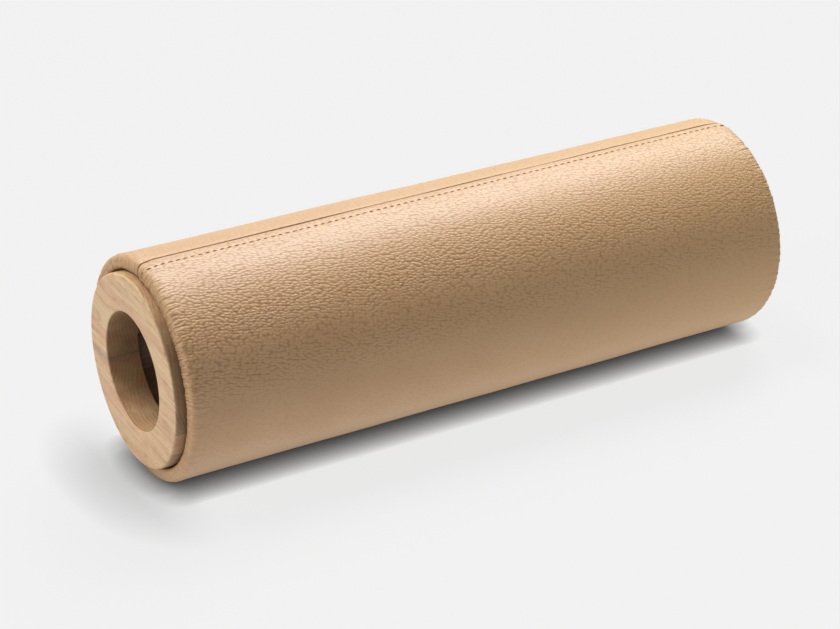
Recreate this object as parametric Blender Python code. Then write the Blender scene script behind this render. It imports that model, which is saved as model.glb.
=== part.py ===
"""Massage roller: a coopered wooden core, a foam sleeve, a lapped leather cover and two turned end rings.

Metres, +Z up. The roller's axis lies along X, and the cover rests on Z = 0 at the origin.
A distance called "in" is measured along the axis from a ring's face towards the middle.
"""
from math import acos, cos, pi, radians, sin

import bmesh
import bpy
from mathutils import Matrix, Vector

MM = 0.001
SHARP_ANGLE = radians(35)
MERGE_DISTANCE = 0.01 * MM

# Overall sizes
OVERALL_LENGTH = 450 * MM
COVER_RADIUS = 72 * MM
BORE_RADIUS = 38 * MM
FIT_GAP = 0.3 * MM

# Leather cover
LEATHER = 1.5 * MM
SKIVED = 0.6 * MM
LIP_HEIGHT = 10.2 * MM
RING_PROUD = 6 * MM
END_ROUND = 8 * MM
CREST_RADIUS = 2.4 * MM
TURN_IN = 8 * MM
FLAT_DEPTH = 0.5 * MM

# Lapped seam along the cover
LAP_WIDTH = 12 * MM
LAP_RISE = 0.8 * MM
LAP_CLIMB = 3 * MM
CLIMB_SHARE = 0.7
EDGE_SHARE = 0.4
GROOVE = 0.6 * MM
EDGE_ROLL = 1.1 * MM
SEAM_ANGLE = radians(-1.5)
SEAM_DRIFT = radians(-2.2)
SIDE_SPANS = 14
LIP_STEPS = 3

# End rings
FLANGE = 14 * MM
SPIGOT_WALL = 3.7 * MM
SPIGOT_LENGTH = 6 * MM
RING_EDGE_ROUND = 2.8 * MM
BORE_EDGE_ROUND = 1 * MM
RING_EDGE_STEPS = 4
BORE_EDGE_STEPS = 3
BACK_CHAMFER = 0.8 * MM
RING_FACETS = 48

# Core of staves
STAVE_COUNT = 12
STAVE_FACETS = 4
CORE_SETBACK = 3.8 * MM

# Dowels between rings and core
DOWELS_PER_END = 4
DOWEL_RADIUS = 4 * MM
DOWEL_IN_RING = 9 * MM
DOWEL_IN_CORE = 15 * MM
DOWEL_CHAMFER = 0.8 * MM
DOWEL_FACETS = 12

# Foam sleeve
FOAM_FACETS = 36

# Places that follow from the sizes above
HALF_LENGTH = OVERALL_LENGTH / 2
AXIS_HEIGHT = COVER_RADIUS - FLAT_DEPTH
FLAT_HALF_ANGLE = acos(AXIS_HEIGHT / COVER_RADIUS)
COVER_HALF_STEP = max(FLAT_HALF_ANGLE, pi / (2 * SIDE_SPANS))
RING_RADIUS = COVER_RADIUS - LIP_HEIGHT
MOUTH_RADIUS = (RING_RADIUS + FIT_GAP) / cos(COVER_HALF_STEP)
CREST_CENTRE = MOUTH_RADIUS + CREST_RADIUS
TURN_IN_RADIUS = MOUTH_RADIUS - TURN_IN
BOSS_RADIUS = TURN_IN_RADIUS * cos(COVER_HALF_STEP) - FIT_GAP
BOSS_IN = FLANGE + LEATHER + FIT_GAP
CORE_IN = BOSS_IN + FIT_GAP
SPIGOT_RADIUS = BORE_RADIUS + SPIGOT_WALL
CORE_APOTHEM = SPIGOT_RADIUS + FIT_GAP
CORE_RADIUS = RING_RADIUS - CORE_SETBACK
DOWEL_CIRCLE = (SPIGOT_RADIUS + BOSS_RADIUS) / 2
DOWEL_TURN = 2 * pi / DOWELS_PER_END


def clear_scene():
    for item in list(bpy.data.objects):
        bpy.data.objects.remove(item)


def material(name, colour, roughness):
    finish = bpy.data.materials.new(name)
    finish.use_nodes = True
    shader = finish.node_tree.nodes["Principled BSDF"]
    shader.inputs["Base Color"].default_value = (*colour, 1)
    shader.inputs["Roughness"].default_value = roughness
    shader.inputs["Metallic"].default_value = 0
    return finish


def mesh_from(builder, name):
    """The bmesh as a smooth-shaded mesh with its faces pointing out."""
    bmesh.ops.recalc_face_normals(builder, faces=builder.faces)
    mesh = bpy.data.meshes.new(name)
    builder.to_mesh(mesh)
    builder.free()
    mesh.shade_smooth()
    mesh.set_sharp_from_angle(angle=SHARP_ANGLE)
    return mesh


def add_object(name, mesh, finish, location=(0, 0, 0), rotation=(0, 0, 0)):
    """A named object, placed from the middle of the roller's axis."""
    item = bpy.data.objects.new(name, mesh)
    if finish and not mesh.materials:
        mesh.materials.append(finish)
    item.parent = bpy.data.objects["roller_axis"]
    item.location = location
    item.rotation_euler = rotation
    bpy.context.collection.objects.link(item)
    return item


def arc(centre_in, centre_radius, depth, height, start, end, steps):
    """Points of an elliptic arc as (in, radius). Angle 0 faces the middle and 90 degrees faces out."""
    points = []
    for step in range(steps + 1):
        angle = start + (end - start) * step / steps
        points.append((centre_in + depth * cos(angle), centre_radius + height * sin(angle)))
    return points


def turned(profile, facets):
    """A closed profile of (x, radius) points, spun about the X axis."""
    builder = bmesh.new()
    corners = [builder.verts.new((x, 0, radius)) for x, radius in profile]
    edges = [builder.edges.new((corners[i - 1], corners[i])) for i in range(len(corners))]
    bmesh.ops.spin(builder, geom=corners + edges, cent=(0, 0, 0), axis=(1, 0, 0),
                   angle=2 * pi, steps=facets, use_merge=True, use_duplicate=False)
    bmesh.ops.remove_doubles(builder, verts=builder.verts, dist=MERGE_DISTANCE)
    return builder


def end_ring_mesh():
    """The ring's origin is at the middle of its face, and X runs into the roller."""
    spigot_end = CORE_IN + SPIGOT_LENGTH
    profile = arc(RING_EDGE_ROUND, RING_RADIUS - RING_EDGE_ROUND, RING_EDGE_ROUND, RING_EDGE_ROUND,
                  pi, pi / 2, RING_EDGE_STEPS)
    profile += [
        (FLANGE, RING_RADIUS),
        (FLANGE, BOSS_RADIUS),
        (BOSS_IN, BOSS_RADIUS),
        (BOSS_IN, SPIGOT_RADIUS),
        (spigot_end - BACK_CHAMFER, SPIGOT_RADIUS),
        (spigot_end, SPIGOT_RADIUS - BACK_CHAMFER),
        (spigot_end, BORE_RADIUS + BACK_CHAMFER),
        (spigot_end - BACK_CHAMFER, BORE_RADIUS),
    ]
    profile += arc(BORE_EDGE_ROUND, BORE_RADIUS + BORE_EDGE_ROUND, BORE_EDGE_ROUND, BORE_EDGE_ROUND,
                   -pi / 2, -pi, BORE_EDGE_STEPS)
    return mesh_from(turned(profile, RING_FACETS), "end_ring")


def stave_mesh():
    """One stave: a flat inside face, two mitred sides and a round back, centred on the axis, facing +Z."""
    half_angle = pi / STAVE_COUNT
    side_gap = FIT_GAP / 2
    half_length = HALF_LENGTH - CORE_IN

    def on_side(radius):
        """Half the stave's width where its mitred side, set in by half a gap, meets a radius."""
        return half_angle - side_gap / radius

    inside_half = CORE_APOTHEM * sin(half_angle) / cos(half_angle) - side_gap / cos(half_angle)
    outline = [(-inside_half, CORE_APOTHEM), (inside_half, CORE_APOTHEM)]
    reach = on_side(CORE_RADIUS)
    for step in range(STAVE_FACETS + 1):
        angle = reach - 2 * reach * step / STAVE_FACETS
        outline.append((CORE_RADIUS * sin(angle), CORE_RADIUS * cos(angle)))

    builder = bmesh.new()
    end = [builder.verts.new((-half_length, y, z)) for y, z in outline]
    face = builder.faces.new(end)
    grown = bmesh.ops.extrude_face_region(builder, geom=[face])
    moved = [item for item in grown["geom"] if isinstance(item, bmesh.types.BMVert)]
    bmesh.ops.translate(builder, verts=moved, vec=(2 * half_length, 0, 0))
    return mesh_from(builder, "stave")


def dowel_mesh(radius, length, chamfer):
    """A dowel along X, centred, with chamfered ends."""
    half = length / 2
    end_radius = radius - chamfer
    rings = [(-half, end_radius), (-half + chamfer, radius), (half - chamfer, radius), (half, end_radius)]
    builder = bmesh.new()
    loops = []
    for x, size in rings:
        loop = []
        for step in range(DOWEL_FACETS):
            angle = 2 * pi * step / DOWEL_FACETS
            loop.append(builder.verts.new((x, size * sin(angle), size * cos(angle))))
        loops.append(loop)
    for first, second in zip(loops, loops[1:]):
        for step in range(DOWEL_FACETS):
            builder.faces.new((first[step - 1], first[step], second[step], second[step - 1]))
    builder.faces.new(loops[0])
    builder.faces.new(loops[-1])
    return mesh_from(builder, "dowel")


def dowel_places(side):
    """Angle and centre of each dowel at one end, side -1 left and +1 right."""
    middle = side * (HALF_LENGTH - CORE_IN - (DOWEL_IN_CORE - DOWEL_IN_RING) / 2)
    places = []
    for index in range(DOWELS_PER_END):
        angle = DOWEL_TURN * (index + 0.5)
        places.append((angle, Vector((middle, DOWEL_CIRCLE * sin(angle), DOWEL_CIRCLE * cos(angle)))))
    return places


def dowel_cutter(name, side):
    """Four hole cutters in one hidden object, a gap larger than the dowels all over."""
    holes = bmesh.new()
    length = DOWEL_IN_RING + DOWEL_IN_CORE + 2 * FIT_GAP
    one_hole = dowel_mesh(DOWEL_RADIUS + FIT_GAP, length, DOWEL_CHAMFER)
    for angle, place in dowel_places(side):
        before = len(holes.verts)
        holes.from_mesh(one_hole)
        holes.verts.ensure_lookup_table()
        placing = Matrix.Translation(place) @ Matrix.Rotation(-angle, 4, "X")
        bmesh.ops.transform(holes, matrix=placing, verts=holes.verts[before:])
    cutter = add_object(name, mesh_from(holes, name), None)
    cutter.hide_render = True
    cutter.display_type = "WIRE"
    return cutter


def drill(item, cutter):
    cut = item.modifiers.new("dowel_holes", "BOOLEAN")
    cut.operation = "DIFFERENCE"
    cut.object = cutter


def cover_stations():
    """The path over one end: flesh side (in, radius), the way to its finish side, and the lap's rise."""
    flesh_in = FLANGE + FIT_GAP + LEATHER
    touch_in = RING_PROUD + CREST_RADIUS
    stations = [
        ((flesh_in, TURN_IN_RADIUS), (-1, 0), 0),
        ((flesh_in, MOUTH_RADIUS + LEATHER), (-1, -1), 0),
        ((touch_in, MOUTH_RADIUS + LEATHER), (0, -1), 0),
    ]
    for angle in (pi / 4, pi / 2):
        way = (-sin(angle), -cos(angle))
        inside = CREST_RADIUS - LEATHER
        stations.append(((touch_in + inside * way[0], CREST_CENTRE + inside * way[1]), way, angle / pi))
    depth = END_ROUND - LEATHER
    height = COVER_RADIUS - CREST_CENTRE - LEATHER
    for step in range(1, LIP_STEPS + 1):
        angle = pi / 2 * step / LIP_STEPS
        way = (-cos(angle), sin(angle))
        flesh = (RING_PROUD + END_ROUND + depth * way[0], CREST_CENTRE + height * way[1])
        stations.append((flesh, way, 1))
    return stations


def cover_columns():
    """Angle, low depth, high depth and share of the lap's rise, from the under edge to the upper edge.

    Angle 0 is up and a positive angle is on the -Y side. Depth is measured from the flesh side.
    """
    under_edge = SEAM_ANGLE + LAP_WIDTH / COVER_RADIUS
    groove_end = SEAM_ANGLE - GROOVE / COVER_RADIUS
    back_start = groove_end - EDGE_ROLL / COVER_RADIUS
    flat_back = -pi + FLAT_HALF_ANGLE
    flat_front = -pi - FLAT_HALF_ANGLE
    front_end = under_edge + LAP_CLIMB / COVER_RADIUS - 2 * pi
    over = SKIVED + FIT_GAP

    columns = [(under_edge, 0, SKIVED, 0), (groove_end, 0, SKIVED, 0)]
    for step in range(SIDE_SPANS + 1):
        angle = back_start + (flat_back - back_start) * step / SIDE_SPANS
        columns.append((angle, 0, LEATHER, 0))
    for step in range(SIDE_SPANS + 1):
        angle = flat_front + (front_end - flat_front) * step / SIDE_SPANS
        columns.append((angle, 0, LEATHER, 0))
    past_under_edge = under_edge + FIT_GAP / COVER_RADIUS - 2 * pi
    columns.append((past_under_edge, over, LEATHER, CLIMB_SHARE))
    columns.append((SEAM_ANGLE + EDGE_ROLL / COVER_RADIUS - 2 * pi, over, LEATHER, 1))
    columns.append((SEAM_ANGLE - 2 * pi, over, LEATHER, EDGE_SHARE))
    return columns


def cover_mesh():
    """One sheet of leather, lapped along the top, drawn over both ends and turned in behind the flanges."""
    one_end = cover_stations()
    path = []
    for side, stations in ((-1, one_end), (1, reversed(one_end))):
        for flesh, way, rise in stations:
            path.append((side * (HALF_LENGTH - flesh[0]), flesh[1], -side * way[0], way[1], rise))
    columns = cover_columns()

    builder = bmesh.new()
    grid = []
    for x, radius, way_x, way_radius, rise in path:
        row = []
        for angle, low, high, share in columns:
            drift = SEAM_DRIFT * (x / HALF_LENGTH) * (1 + cos(angle)) / 2
            pair = []
            for depth in (low, high + LAP_RISE * rise * share):
                reach = radius + depth * way_radius
                height = max(reach * cos(angle + drift), -AXIS_HEIGHT)
                pair.append(builder.verts.new((x + depth * way_x, -reach * sin(angle + drift), height)))
            row.append(pair)
        grid.append(row)

    last_row = len(grid) - 1
    last_column = len(columns) - 1
    for i in range(last_row):
        for j in range(last_column):
            for side in (0, 1):
                builder.faces.new((grid[i][j][side], grid[i + 1][j][side],
                                   grid[i + 1][j + 1][side], grid[i][j + 1][side]))
        for j in (0, last_column):
            builder.faces.new((grid[i][j][0], grid[i + 1][j][0], grid[i + 1][j][1], grid[i][j][1]))
    for j in range(last_column):
        for i in (0, last_row):
            builder.faces.new((grid[i][j][0], grid[i][j + 1][0], grid[i][j + 1][1], grid[i][j][1]))
    return mesh_from(builder, "leather_cover")


def foam_mesh():
    """The foam sleeve: round lips that fill the cover's ends, and a step behind each flange."""
    half_step = pi / FOAM_FACETS
    bore = (CORE_RADIUS + FIT_GAP) / cos(half_step)
    step_radius = (MOUTH_RADIUS + LEATHER + FIT_GAP) / cos(half_step)
    lip_in = RING_PROUD + END_ROUND
    depth = END_ROUND - LEATHER - FIT_GAP
    height = COVER_RADIUS - CREST_CENTRE - LEATHER - FIT_GAP
    step_floor = FLANGE + LEATHER + 2 * FIT_GAP

    one_end = [(step_floor, bore), (step_floor, step_radius), (RING_PROUD + CREST_RADIUS, step_radius)]
    inside_facets = cos(COVER_HALF_STEP + abs(SEAM_DRIFT))
    crest, *rounding = arc(lip_in, CREST_CENTRE, depth, height, pi, pi / 2, LIP_STEPS)
    one_end.append(crest)
    one_end += [(distance, radius * inside_facets) for distance, radius in rounding]
    profile = [(-HALF_LENGTH + distance, radius) for distance, radius in one_end]
    profile += [(HALF_LENGTH - distance, radius) for distance, radius in reversed(one_end)]
    return mesh_from(turned(profile, FOAM_FACETS), "foam_sleeve")


def build():
    clear_scene()
    axis = bpy.data.objects.new("roller_axis", None)
    axis.location = (0, 0, AXIS_HEIGHT)
    bpy.context.collection.objects.link(axis)

    ring_wood = material("ring_hardwood", (0.62, 0.40, 0.20), 0.5)
    stave_wood = material("stave_hardwood", (0.42, 0.26, 0.13), 0.55)
    beech = material("beech_dowel", (0.60, 0.43, 0.26), 0.6)
    foam = material("foam", (0.13, 0.13, 0.14), 0.9)
    leather = material("tan_leather", (0.53, 0.33, 0.18), 0.45)

    cutters = {-1: dowel_cutter("left_hole_cutter", -1), 1: dowel_cutter("right_hole_cutter", 1)}

    ring = end_ring_mesh()
    for name, side in (("left", -1), ("right", 1)):
        turn = 0 if side < 0 else pi
        item = add_object(f"{name}_end_ring", ring, ring_wood, (side * HALF_LENGTH, 0, 0), (0, 0, turn))
        drill(item, cutters[side])

    stave = stave_mesh()
    for index in range(STAVE_COUNT):
        turn = -2 * pi * (index + 0.5) / STAVE_COUNT
        item = add_object(f"core_stave_{index + 1:02d}", stave, stave_wood, (0, 0, 0), (turn, 0, 0))
        holds_dowel = any(abs((angle + turn + pi) % (2 * pi) - pi) < pi / STAVE_COUNT
                          for angle, place in dowel_places(1))
        if holds_dowel:
            drill(item, cutters[-1])
            drill(item, cutters[1])

    dowel = dowel_mesh(DOWEL_RADIUS, DOWEL_IN_RING + DOWEL_IN_CORE, DOWEL_CHAMFER)
    for name, side in (("left", -1), ("right", 1)):
        for index, (angle, place) in enumerate(dowel_places(side)):
            add_object(f"{name}_dowel_{index + 1}", dowel, beech, place, (-angle, 0, 0))

    add_object("foam_sleeve", foam_mesh(), foam)
    add_object("leather_cover", cover_mesh(), leather)


build()
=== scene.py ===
from bisect import bisect_right
from math import ceil, cos, exp, pi, radians, sin, sqrt

import bmesh
import bpy
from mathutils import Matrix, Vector, noise


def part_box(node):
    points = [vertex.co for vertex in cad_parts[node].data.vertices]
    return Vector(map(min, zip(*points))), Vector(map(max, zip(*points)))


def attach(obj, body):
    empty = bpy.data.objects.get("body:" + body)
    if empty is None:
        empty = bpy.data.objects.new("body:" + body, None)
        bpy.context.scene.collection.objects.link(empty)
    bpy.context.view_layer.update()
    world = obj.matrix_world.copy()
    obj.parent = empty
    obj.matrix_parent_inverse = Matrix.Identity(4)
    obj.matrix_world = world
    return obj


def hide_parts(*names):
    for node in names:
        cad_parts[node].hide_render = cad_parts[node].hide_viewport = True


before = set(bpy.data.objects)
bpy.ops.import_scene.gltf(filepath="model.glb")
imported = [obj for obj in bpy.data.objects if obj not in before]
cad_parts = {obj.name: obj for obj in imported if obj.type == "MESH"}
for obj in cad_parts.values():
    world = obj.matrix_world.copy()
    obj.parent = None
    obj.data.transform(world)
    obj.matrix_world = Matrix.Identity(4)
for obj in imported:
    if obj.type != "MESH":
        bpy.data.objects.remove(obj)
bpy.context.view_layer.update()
print("frame loaded,", len(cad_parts), "nodes")

mm = 0.001

# Sizes that the pieces share. They repeat the CAD model's, with the roller's axis along X.
# "In" is the distance from a ring's face towards the middle of the roller.
roller = {
    "halfLength": 225 * mm,
    "axisHeight": 71.5 * mm,
    "coverRadius": 72 * mm,
    "ringRadius": 61.8 * mm,
    "boreRadius": 38 * mm,
}


def smooth(value, low, high):
    share = min(max((value - low) / (high - low), 0), 1)
    return share * share * (3 - 2 * share)


def place(side, inside, radius, angle):
    # angle 0 is up, and a positive one is on the camera's side
    height = roller["axisHeight"] + radius * cos(angle)
    return Vector((side * (roller["halfLength"] - inside), -radius * sin(angle), height))


def linear(code):
    # sRGB hex to the linear colour that a shader takes
    parts = [int(code[i:i + 2], 16) / 255 for i in (0, 2, 4)]
    return (*[c / 12.92 if c <= 0.04045 else ((c + 0.055) / 1.055) ** 2.4 for c in parts], 1)


def setInputs(tree, node, inputs):
    # an input takes a value, a socket, or a node's first output
    for socket, value in inputs.items():
        if isinstance(value, bpy.types.Node):
            value = value.outputs[0]
        if isinstance(value, bpy.types.NodeSocket):
            tree.links.new(value, node.inputs[socket])
        else:
            node.inputs[socket].default_value = value


def addNode(tree, kind, inputs=None, **settings):
    node = tree.nodes.new("ShaderNode" + kind)
    for setting, value in settings.items():
        setattr(node, setting, value)
    setInputs(tree, node, inputs or {})
    return node


def newFinish(name):
    finish = bpy.data.materials.new(name)
    finish.use_nodes = True
    return finish, finish.node_tree, finish.node_tree.nodes["Principled BSDF"]


def setStops(ramp, stops, blend="LINEAR"):
    ramp.color_ramp.interpolation = blend
    points = ramp.color_ramp.elements
    while len(points) < len(stops):
        points.new(0.5)
    for point, (position, colour) in zip(points, stops):
        point.position = position
        point.color = colour


def finishMesh(builder, name, sharpAngle=40):
    bmesh.ops.recalc_face_normals(builder, faces=builder.faces)
    mesh = bpy.data.meshes.new(name)
    builder.to_mesh(mesh)
    builder.free()
    mesh.shade_smooth()
    mesh.set_sharp_from_angle(angle=radians(sharpAngle))
    return mesh


def joinLoops(builder, loops):
    for a, b in zip(loops, loops[1:]):
        for k in range(len(a)):
            builder.faces.new((a[k - 1], a[k], b[k], b[k - 1]))


def addObject(name, data):
    added = bpy.data.objects.new(name, data)
    bpy.context.scene.collection.objects.link(added)
    return added


def addPiece(name, mesh, finish, slot, *nodes):
    piece = addObject(name, mesh)
    mesh.materials.append(finish)
    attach(piece, "root")
    if nodes:
        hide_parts(*nodes)
    return piece


# Leather

hide = {
    "colour": "BB8C56",
    "farColour": "C69B62",  # the tan is a little lighter towards the right end
    "driftHalf": 150 * mm,
    # colour of the painted shade in the grain's valleys, folds, the seam's groove and the gap by the ring
    "paintedShadeColour": "80542A",
    "rubbedColour": "C89E6C",
    "rubbed": 22 * mm,  # size of the parts that are rubbed paler
    "rubbedMost": 0.3,
    "pebble": 1.75 * mm,
    "pebbleStretch": 1.7,
    "endStretch": 2.6,  # how far the grain is drawn out beside the rings
    "straightTo": 2 * mm,  # places along the finish side, from the ring
    "freeFrom": 14 * mm,
    "lay": radians(-14),  # the hide was cut a little off its own line
    "spread": 0.75,  # 0 sets the pebbles in rows, and 1 is fully random
    "soften": 0.12,
    "domeWidth": 1.2,  # beside a pebble's own width
    "depth": 0.52 * mm,
    "flow": 18 * mm,  # length of the waves that the grain flows in
    "flowReach": (2.5 * mm, 2.5 * mm, 0),
    "bend": 2.2 * mm,  # the same for the bend of each pebble
    "bendReach": (0.4 * mm, 0.5 * mm, 0),
    "crease": 2.4 * mm,
    "creaseHeight": 0.1,  # a pebble's is 1
    "wrinkle": 0.9 * mm,
    "wrinkleHeight": 0.06,
    "plump": 45 * mm,  # size of the parts where the grain is plumper
    "plumpLeast": 0.86,
    "backGrain": 0.8,  # how deep the grain stands behind the seam and before it
    "topGrain": 0.85,
    "frontGains": 0.45,
    "frontFrom": (radians(30), radians(58)),  # turned down from the top
    "underLoses": 1.05,
    "underFrom": (radians(64), radians(92)),
    "leftGains": 0.25,
    "ringsGain": 0.15,
    "ringsReach": (5 * mm, 18 * mm),  # along the finish side, from the ring
    "stretched": 0.45,  # share that the strip behind the seam loses
    "stretchedWidth": 26 * mm,
    "paintedGapShade": 0.95,  # how much painted shade goes where the leather goes in by the ring
    "paintedGapShadeFrom": (-0.2 * mm, 1.4 * mm),
    "foldShade": 0.8 * mm,  # depth of a fold that takes the full painted shade
    "foldPlain": 0.12,
    "mostShade": 0.9,
    "valleyFrom": 0.54,  # heights between which the painted shade in the grain's valleys fades out
    "valleyTo": 0.74,
    "paintedValleyShade": 0.27,
    "roughTop": 0.5,
    "roughCrease": 0.64,
    "roughFrom": 0.6,  # heights between which it goes from one to the other
    "roughTo": 1.1,
    "waxLeft": 0.66,
    "waxRight": 0.06,
    "waxLost": 1.2,  # how fast the wax thins out in creases
    "waxRough": 0.47,
    "shine": 0.8,
    "sheen": 0.13,
    "ior": 1.5,
}


def milledCowhide():
    # full-grain cowhide, drum dyed, milled soft and given a thin wax finish: small drawn-out
    # pebbles that catch satin lights on their tops, soft creases between them, and an even tan
    finish, tree, shader = newFinish("milledFullGrainCowhide")
    spot = addNode(tree, "Attribute", attribute_name="hidePlace").outputs["Vector"]
    # the grain flows in long waves, and each pebble is bent a little
    waves = addNode(tree, "TexNoise", {"Vector": spot, "Scale": 1 / hide["flow"], "Detail": 1},
                    noise_dimensions="2D")
    flowing = addNode(tree, "VectorMath", {0: waves.outputs["Color"], 1: hide["flowReach"], 2: spot},
                      operation="MULTIPLY_ADD")
    bends = addNode(tree, "TexNoise", {"Vector": flowing, "Scale": 1 / hide["bend"], "Detail": 1},
                    noise_dimensions="2D")
    bent = addNode(tree, "VectorMath", {0: bends.outputs["Color"], 1: hide["bendReach"], 2: flowing},
                   operation="MULTIPLY_ADD")
    pebbles = addNode(tree, "TexVoronoi", {"Vector": bent, "Scale": 1 / hide["pebble"],
                                           "Smoothness": hide["soften"], "Randomness": hide["spread"]},
                      voronoi_dimensions="2D", feature="SMOOTH_F1")
    # domed tops that meet in narrow valleys
    domes = addNode(tree, "MapRange", {"Value": pebbles, "From Min": 0, "From Max": hide["domeWidth"],
                                       "To Min": 1, "To Max": 0}, interpolation_type="SMOOTHSTEP")
    # soft creases group them, and finer wrinkles lie over all
    creases = addNode(tree, "TexNoise", {"Vector": flowing, "Scale": 1 / hide["crease"], "Detail": 1},
                      noise_dimensions="2D")
    grouped = addNode(tree, "Math", {0: creases, 1: hide["creaseHeight"], 2: domes}, operation="MULTIPLY_ADD")
    wrinkles = addNode(tree, "TexNoise", {"Vector": bent, "Scale": 1 / hide["wrinkle"], "Detail": 2},
                       noise_dimensions="2D")
    height = addNode(tree, "Math", {0: wrinkles, 1: hide["wrinkleHeight"], 2: grouped},
                     operation="MULTIPLY_ADD")
    # the grain is plumper in some parts of the hide than in others; a noise mostly runs from 0.3 to 0.7
    plump = addNode(tree, "TexNoise", {"Vector": spot, "Scale": 1 / hide["plump"], "Detail": 1},
                    noise_dimensions="2D")
    grain = addNode(tree, "MapRange", {"Value": plump, "From Min": 0.3, "From Max": 0.7,
                                       "To Min": hide["plumpLeast"], "To Max": 1})
    firm = addNode(tree, "Attribute", attribute_name="grainStrength")
    strength = addNode(tree, "Math", {0: grain, 1: firm.outputs["Fac"]}, operation="MULTIPLY")
    bump = addNode(tree, "Bump", {"Strength": strength, "Distance": hide["depth"], "Height": height})
    # the tan is lighter towards the right end and rubbed paler here and there
    lengthways = addNode(tree, "SeparateXYZ", {0: spot})
    drift = addNode(tree, "MapRange", {"Value": lengthways, "From Min": -hide["driftHalf"],
                                       "From Max": hide["driftHalf"]})
    tan = addNode(tree, "Mix", {0: drift, 6: linear(hide["colour"]), 7: linear(hide["farColour"])},
                  data_type="RGBA")
    patches = addNode(tree, "TexNoise", {"Vector": spot, "Scale": 1 / hide["rubbed"], "Detail": 3},
                      noise_dimensions="2D")
    rubbed = addNode(tree, "MapRange", {"Value": patches, "From Min": 0.35, "From Max": 0.7, "To Min": 0,
                                        "To Max": hide["rubbedMost"]})
    body = addNode(tree, "Mix", {0: rubbed, 6: tan.outputs[2], 7: linear(hide["rubbedColour"])},
                   data_type="RGBA")
    # painted shade: a little darker in the grain's valleys, as deep as the grain stands, and dark in folds, the
    # seam's groove and the gap by the ring
    paintedValleyMask = addNode(tree, "MapRange", {"Value": height, "From Min": hide["valleyFrom"],
                                         "From Max": hide["valleyTo"], "To Min": hide["paintedValleyShade"],
                                         "To Max": 0}, interpolation_type="SMOOTHSTEP")
    paintedCreaseShade = addNode(tree, "Math", {0: paintedValleyMask, 1: strength}, operation="MULTIPLY")
    foldShadePainted = addNode(tree, "Attribute", attribute_name="foldShadePainted")
    shade = addNode(tree, "Math", {0: paintedCreaseShade, 1: foldShadePainted.outputs["Fac"]}, operation="MAXIMUM")
    colour = addNode(tree, "Mix", {0: shade, 6: body.outputs[2], 7: linear(hide["paintedShadeColour"])},
                     data_type="RGBA")
    rough = addNode(tree, "MapRange", {"Value": height, "From Min": hide["roughFrom"],
                                       "From Max": hide["roughTo"], "To Min": hide["roughCrease"],
                                       "To Max": hide["roughTop"]})
    # the wax lies smooth over the grain, thicker at one end of the hide and thin in creases
    wax = addNode(tree, "MapRange", {"Value": drift, "To Min": hide["waxLeft"], "To Max": hide["waxRight"]})
    stays = addNode(tree, "Math", {0: paintedCreaseShade, 1: -hide["waxLost"], 2: 1}, operation="MULTIPLY_ADD",
                    use_clamp=True)
    coat = addNode(tree, "Math", {0: wax, 1: stays}, operation="MULTIPLY")
    setInputs(tree, shader, {"Base Color": colour.outputs[2], "Roughness": rough, "Normal": bump,
                             "IOR": hide["ior"], "Specular IOR Level": hide["shine"],
                             "Sheen Weight": hide["sheen"], "Coat Weight": coat,
                             "Coat Roughness": hide["waxRough"]})
    return finish


# Leather cover: one sheet, lapped along the top, drawn over both ends and turned in beside the rings

cover = {
    "leather": 1.5 * mm,
    "clearance": 1.2 * mm,  # from the ring's side
    "crestIn": 6 * mm,
    "crestRound": 2.0 * mm,
    "endRound": 6 * mm,
    "endFullness": 3.6,  # 2 is a quarter circle, and more is boxier
    "turnInFrom": 14.3 * mm,
    "turnIn": 7.6 * mm,
    "seamAngle": radians(-1.5),
    "seamDrift": radians(-2.2),
    "lapWidth": 12 * mm,
    "lapRise": 0.45 * mm,
    "lapSlope": 4.5 * mm,
    "lapFades": (-1 * mm, 4 * mm),  # from its width on
    "lapGrows": 6 * mm,  # along the finish side, from the ring
    "under": 1.3 * mm,  # how far the under layer of the lap lies below the finish side
    "endPull": 2.4 * mm,  # how far the seam is drawn to the front over the ends
    "endPullWidth": 25 * mm,
    "endPullLength": 13 * mm,
    "grooveWidth": 0.95 * mm,
    "grooveWallFrom": 0.4,  # in groove widths, as the next one is
    "shoulderSpan": (0.9, 3.2),
    "shoulder": 0.22 * mm,
    "edgeRoll": 1.1 * mm,
    "edgeDrop": 0.95 * mm,
    "stitchFromEdge": (8.6 * mm, 6.5 * mm),  # at the left and at the right end
    "stitchGather": 0.28,  # share by which the stitches come nearer to the edge by the rings
    "stitchGatherOver": (1 * mm, 15 * mm),
    "stitchesFrom": 4 * mm,
    "stitchPull": 0.12 * mm,
    "pullWidth": 1.0 * mm,
    "pullBetween": 0.5,  # how much of the pull there is between holes, and how much more at one
    "pullAtHole": 0.9,
    "sag": 0.3 * mm,
    "sagSize": (60 * mm, 38 * mm),  # along and round the roller
    "sagFrom": (2 * mm, 30 * mm),  # along the finish side, from the ring
    "pressedSoft": 0.08 * mm,  # how softly the cover turns flat where it lies
    "columns": 104,
    "fineWidth": 0.46 * mm,  # widest step between columns beside the rings
    "bodySteps": 81,
    "fineFrom": 25 * mm,
}

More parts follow.
